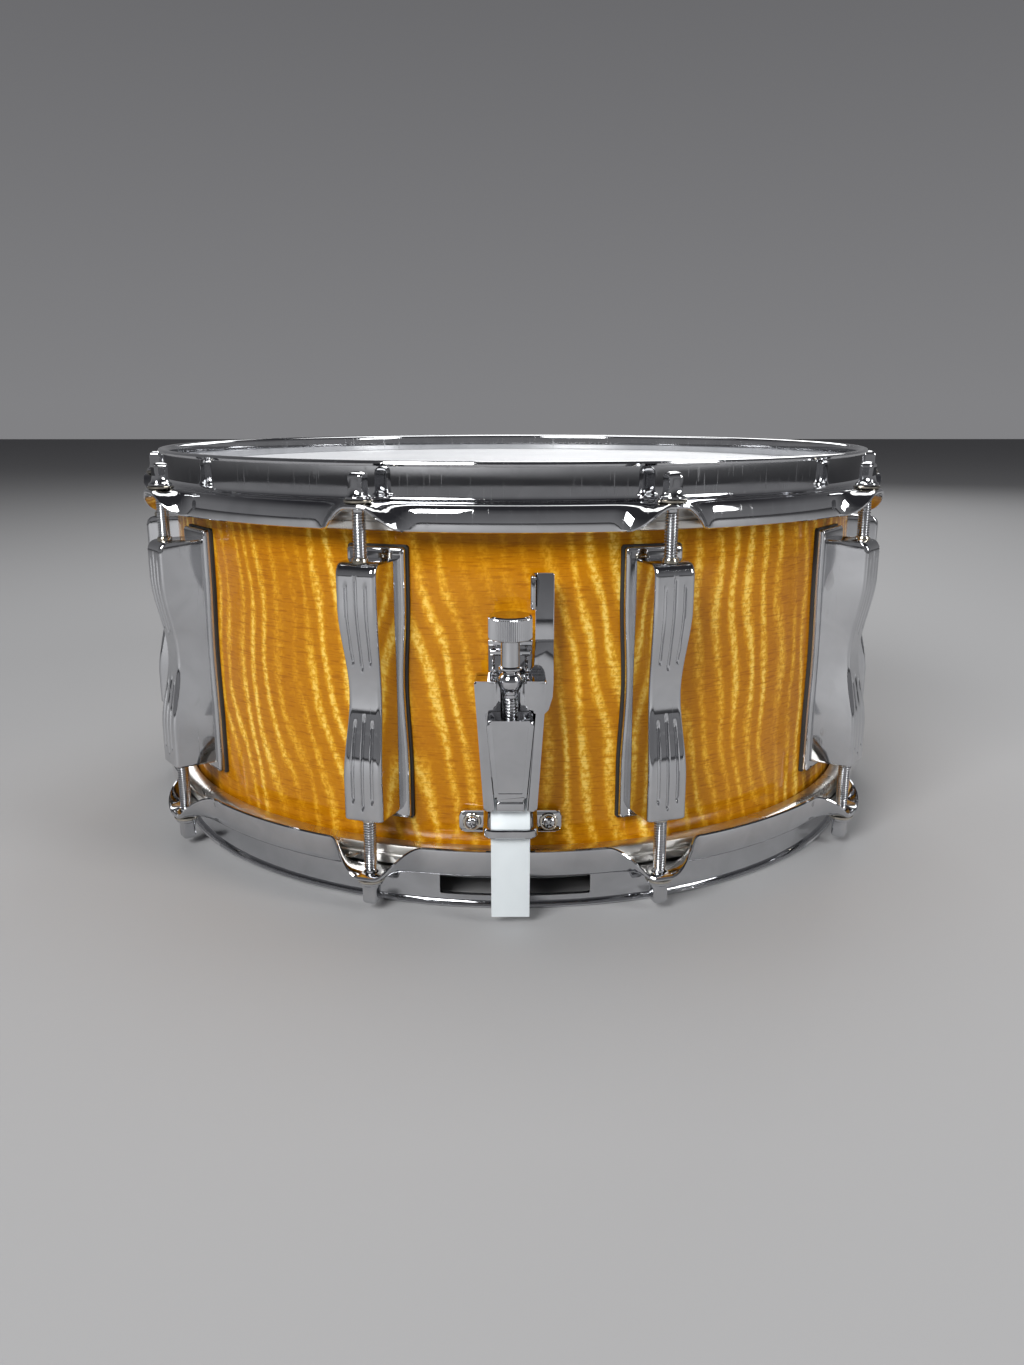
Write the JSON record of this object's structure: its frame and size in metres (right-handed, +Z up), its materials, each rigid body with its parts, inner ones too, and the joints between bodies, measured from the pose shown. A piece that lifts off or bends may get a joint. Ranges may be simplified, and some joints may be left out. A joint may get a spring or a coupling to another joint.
{
  "type": "snare drum",
  "caption": "Snare drum: a wooden shell with flanged hoops on key rods and bow-tie lugs, and a throw-off lever that lets the snare wires down from the lower head.",
  "frame": {"origin": "centre of the bottom of the drum's bounding box, on the plane the snare hoop stands on", "axes": "+Z up along the drum's axis, towards the batter head; -Y towards the strainer side, seen as the front; +X to the right from there"},
  "size_m": [0.4022, 0.4109, 0.1858],
  "materials": {
    "maple": "curly maple, amber stain under gloss lacquer",
    "chrome": "polished",
    "aluminium": "satin",
    "coated_film": "matt coating on polyester film",
    "clear_film": "hazy polyester film",
    "strap": "satin polyester strip",
    "snare_steel": "wound wire",
    "rubber": "matt black gasket under each lug"
  },
  "bodies": {
    "drum": {"shell": "maple", "badge": "aluminium", "vent_grommet": "chrome", "batter_head": "coated_film", "batter_head_ring": "aluminium", "snare_head": "clear_film", "snare_head_ring": "aluminium", "batter_hoop": "chrome", "snare_hoop": "chrome", "lug_1": "chrome", "lug_2": "chrome", "lug_3": "chrome", "lug_4": "chrome", "lug_5": "chrome", "lug_6": "chrome", "lug_7": "chrome", "lug_8": "chrome", "lug_9": "chrome", "lug_10": "chrome", "strainer_base": "chrome", "strainer_screw_left": "chrome", "strainer_screw_right": "chrome", "snare_strap_front": "strap", "snare_strap_back": "strap", "butt_base": "chrome", "butt_clamp": "chrome", "butt_clamp_screw_left": "chrome", "butt_clamp_screw_right": "chrome", "butt_mount_screw_left": "chrome", "butt_mount_screw_right": "chrome"},
    "lever": {"strainer_lever": "chrome"},
    "carriage": {"strainer_carriage": "chrome"},
    "clamp": {"clamp_slide": "chrome", "clamp_jaw": "chrome", "snare_strap_tail": "strap"},
    "knob": {"tension_knob": "chrome"},
    "wires": {"snare_wires": "snare_steel"},
    "batter_rod_1": {"batter_rod_1": "chrome"},
    "batter_rod_2": {"batter_rod_2": "chrome"},
    "batter_rod_3": {"batter_rod_3": "chrome"},
    "batter_rod_4": {"batter_rod_4": "chrome"},
    "batter_rod_5": {"batter_rod_5": "chrome"},
    "batter_rod_6": {"batter_rod_6": "chrome"},
    "batter_rod_7": {"batter_rod_7": "chrome"},
    "batter_rod_8": {"batter_rod_8": "chrome"},
    "batter_rod_9": {"batter_rod_9": "chrome"},
    "batter_rod_10": {"batter_rod_10": "chrome"},
    "snare_rod_1": {"snare_rod_1": "chrome"},
    "snare_rod_2": {"snare_rod_2": "chrome"},
    "snare_rod_3": {"snare_rod_3": "chrome"},
    "snare_rod_4": {"snare_rod_4": "chrome"},
    "snare_rod_5": {"snare_rod_5": "chrome"},
    "snare_rod_6": {"snare_rod_6": "chrome"},
    "snare_rod_7": {"snare_rod_7": "chrome"},
    "snare_rod_8": {"snare_rod_8": "chrome"},
    "snare_rod_9": {"snare_rod_9": "chrome"},
    "snare_rod_10": {"snare_rod_10": "chrome"}
  },
  "joints": [
    {"name": "lever_throw", "type": "hinge", "parent": "drum", "child": "lever", "pos_m": [-0.002, -0.1875, 0.092], "axis": [0, 1, 0], "range_deg": [0, 80]},
    {"name": "carriage_drop", "type": "slide", "parent": "drum", "child": "carriage", "axis": [0, 0, -1], "range_m": [0, 0.006], "deforming": ["snare_strap_front"]},
    {"name": "tension_turn", "type": "hinge", "parent": "carriage", "child": "knob", "pos_m": [-0.002, -0.1985, 0.11], "axis": [0, 0, -1], "range_deg": [-1080, 1080]},
    {"name": "strap_adjust", "type": "slide", "parent": "carriage", "child": "clamp", "axis": [0, 0, 1], "range_m": [-0.0024, 0.0024]},
    {"name": "snare_release", "type": "hinge", "parent": "drum", "child": "wires", "pos_m": [0, 0.168, 0.0083], "axis": [1, 0, 0], "range_deg": [0, 0.5]},
    {"name": "batter_rod_1_turn", "type": "hinge", "parent": "drum", "child": "batter_rod_1", "pos_m": [0.06026, -0.18546, 0.17055], "axis": [0, 0, 1], "continuous": true},
    {"name": "batter_rod_2_turn", "type": "hinge", "parent": "drum", "child": "batter_rod_2", "pos_m": [0.15776, -0.11462, 0.17055], "axis": [0, 0, 1], "continuous": true},
    {"name": "batter_rod_3_turn", "type": "hinge", "parent": "drum", "child": "batter_rod_3", "pos_m": [0.195, 0, 0.17055], "axis": [0, 0, 1], "continuous": true},
    {"name": "batter_rod_4_turn", "type": "hinge", "parent": "drum", "child": "batter_rod_4", "pos_m": [0.15776, 0.11462, 0.17055], "axis": [0, 0, 1], "continuous": true},
    {"name": "batter_rod_5_turn", "type": "hinge", "parent": "drum", "child": "batter_rod_5", "pos_m": [0.06026, 0.18546, 0.17055], "axis": [0, 0, 1], "continuous": true},
    {"name": "batter_rod_6_turn", "type": "hinge", "parent": "drum", "child": "batter_rod_6", "pos_m": [-0.06026, 0.18546, 0.17055], "axis": [0, 0, 1], "continuous": true},
    {"name": "batter_rod_7_turn", "type": "hinge", "parent": "drum", "child": "batter_rod_7", "pos_m": [-0.15776, 0.11462, 0.17055], "axis": [0, 0, 1], "continuous": true},
    {"name": "batter_rod_8_turn", "type": "hinge", "parent": "drum", "child": "batter_rod_8", "pos_m": [-0.195, 0, 0.17055], "axis": [0, 0, 1], "continuous": true},
    {"name": "batter_rod_9_turn", "type": "hinge", "parent": "drum", "child": "batter_rod_9", "pos_m": [-0.15776, -0.11462, 0.17055], "axis": [0, 0, 1], "continuous": true},
    {"name": "batter_rod_10_turn", "type": "hinge", "parent": "drum", "child": "batter_rod_10", "pos_m": [-0.06026, -0.18546, 0.17055], "axis": [0, 0, 1], "continuous": true},
    {"name": "snare_rod_1_turn", "type": "hinge", "parent": "drum", "child": "snare_rod_1", "pos_m": [0.06026, -0.18546, 0.01525], "axis": [0, 0, 1], "continuous": true},
    {"name": "snare_rod_2_turn", "type": "hinge", "parent": "drum", "child": "snare_rod_2", "pos_m": [0.15776, -0.11462, 0.01525], "axis": [0, 0, 1], "continuous": true},
    {"name": "snare_rod_3_turn", "type": "hinge", "parent": "drum", "child": "snare_rod_3", "pos_m": [0.195, 0, 0.01525], "axis": [0, 0, 1], "continuous": true},
    {"name": "snare_rod_4_turn", "type": "hinge", "parent": "drum", "child": "snare_rod_4", "pos_m": [0.15776, 0.11462, 0.01525], "axis": [0, 0, 1], "continuous": true},
    {"name": "snare_rod_5_turn", "type": "hinge", "parent": "drum", "child": "snare_rod_5", "pos_m": [0.06026, 0.18546, 0.01525], "axis": [0, 0, 1], "continuous": true},
    {"name": "snare_rod_6_turn", "type": "hinge", "parent": "drum", "child": "snare_rod_6", "pos_m": [-0.06026, 0.18546, 0.01525], "axis": [0, 0, 1], "continuous": true},
    {"name": "snare_rod_7_turn", "type": "hinge", "parent": "drum", "child": "snare_rod_7", "pos_m": [-0.15776, 0.11462, 0.01525], "axis": [0, 0, 1], "continuous": true},
    {"name": "snare_rod_8_turn", "type": "hinge", "parent": "drum", "child": "snare_rod_8", "pos_m": [-0.195, 0, 0.01525], "axis": [0, 0, 1], "continuous": true},
    {"name": "snare_rod_9_turn", "type": "hinge", "parent": "drum", "child": "snare_rod_9", "pos_m": [-0.15776, -0.11462, 0.01525], "axis": [0, 0, 1], "continuous": true},
    {"name": "snare_rod_10_turn", "type": "hinge", "parent": "drum", "child": "snare_rod_10", "pos_m": [-0.06026, -0.18546, 0.01525], "axis": [0, 0, 1], "continuous": true}
  ],
  "couplings": [
    {"joint": "lever_throw", "follows": "carriage_drop", "rad_per_m": 232.7},
    {"joint": "snare_release", "follows": "carriage_drop", "rad_per_m": 1.454},
    {"joint": "tension_turn", "follows": "strap_adjust", "rad_per_m": 7853.9}
  ]
}
